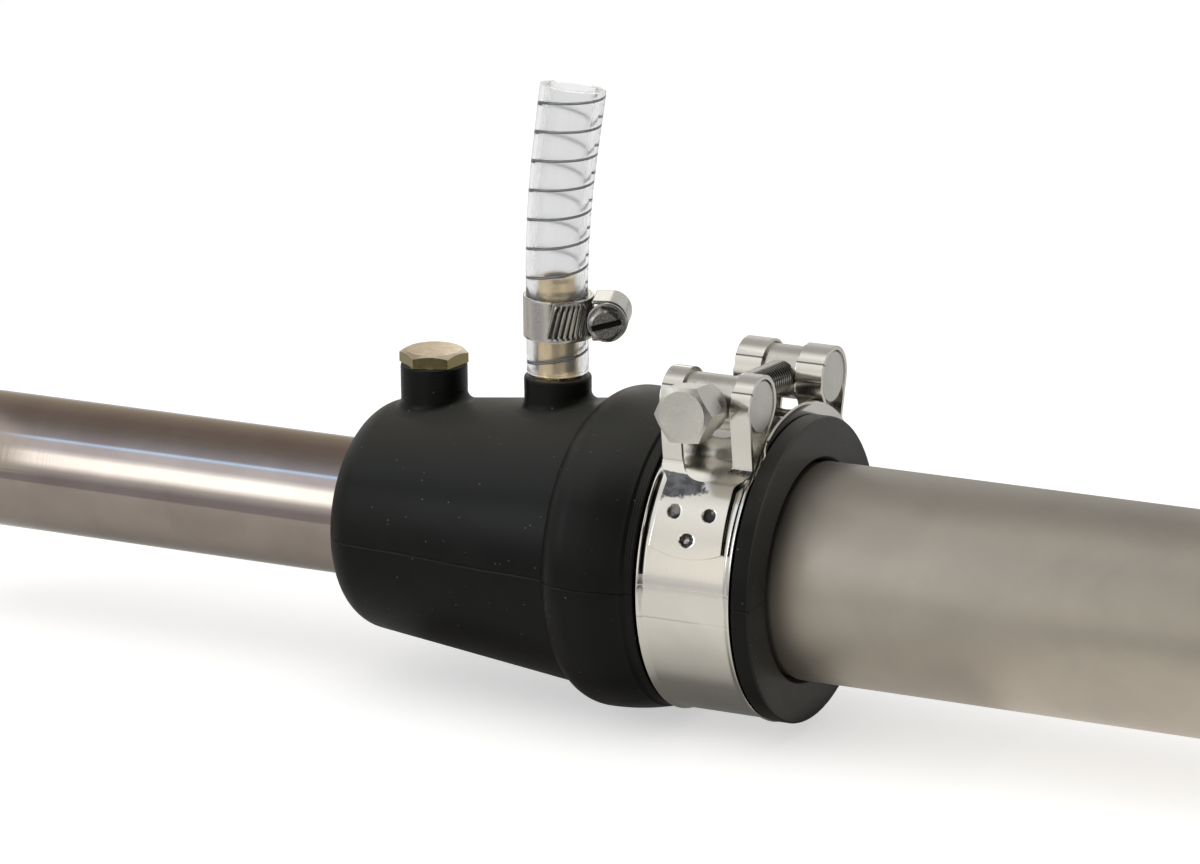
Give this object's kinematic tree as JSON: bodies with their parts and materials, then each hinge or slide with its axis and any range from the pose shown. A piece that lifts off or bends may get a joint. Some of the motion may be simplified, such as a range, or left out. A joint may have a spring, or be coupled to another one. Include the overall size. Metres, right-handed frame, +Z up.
{
  "type": "stuffing box",
  "caption": "Rubber propeller shaft gland with filler plug, water hose and T-bolt clamp, fitted between a shaft and a stern tube.",
  "frame": {"origin": "on the shaft's axis, in the face of the housing's collar where the stern tube comes out", "axes": "+X along the shaft from the boat to the water, +Z up along the two bosses"},
  "size_m": [0.322, 0.069, 0.1334],
  "materials": {
    "rubber": "moulded, satin",
    "seal_rubber": "smooth",
    "seal_steel": "pressed",
    "acetal": "machined",
    "laminate": "machined",
    "brass": "machined, lightly aged",
    "clear_hose": "clear",
    "wire_steel": "drawn",
    "clamp_steel": "rolled",
    "screw_steel": "machined",
    "polished_steel": "polished",
    "matt_steel": "turned, matt",
    "shaft_steel": "ground and polished",
    "tube_steel": "fine turned grain"
  },
  "bodies": {
    "gland": {"housing": "rubber", "inner_seal_case": "seal_steel", "inner_seal_lip": "seal_rubber", "inner_seal_spring": "seal_steel", "grease_ring": "acetal", "outer_seal_case": "seal_steel", "outer_seal_lip": "seal_rubber", "outer_seal_spring": "seal_steel", "bearing_shell": "laminate", "bearing_liner": "seal_rubber", "plug_bush": "brass", "hose_tail": "brass", "hose": "clear_hose", "hose_wire": "wire_steel", "worm_band": "clamp_steel", "worm_housing": "clamp_steel", "clamp_band": "polished_steel", "clamp_bridge": "polished_steel", "front_trunnion": "matt_steel", "stern_tube": "tube_steel"},
    "shaft": {"propeller_shaft": "shaft_steel"},
    "plug": {"filler_plug": "brass"},
    "bolt": {"clamp_bolt": "matt_steel"},
    "nut": {"rear_trunnion": "matt_steel"},
    "hose_clamp_screw": {"worm_screw": "screw_steel"}
  },
  "joints": [
    {"name": "shaft_spin", "type": "hinge", "parent": "gland", "child": "shaft", "pos_m": [0, 0, 0], "axis": [1, 0, 0], "continuous": true},
    {"name": "plug_lift", "type": "slide", "parent": "gland", "child": "plug", "axis": [0, 0, 1], "range_m": [0, 0.01]},
    {"name": "clamp_bolt_turn", "type": "hinge", "parent": "gland", "child": "bolt", "pos_m": [-0.015, 0.00264, 0.03771], "axis": [0, -0.9976, 0.0698], "range_deg": [0, 1081]},
    {"name": "rear_trunnion_slide", "type": "slide", "parent": "gland", "child": "nut", "axis": [0, 0.9976, -0.0698], "range_m": [0, 0.003], "deforming": ["clamp_band"]},
    {"name": "worm_screw_turn", "type": "hinge", "parent": "gland", "child": "hose_clamp_screw", "pos_m": [-0.04944, 0.00384, 0.0489], "axis": [0.342, -0.9397, 0], "range_deg": [0, 1440]}
  ],
  "couplings": [
    {"joint": "clamp_bolt_turn", "follows": "rear_trunnion_slide", "rad_per_m": 6283.2}
  ]
}
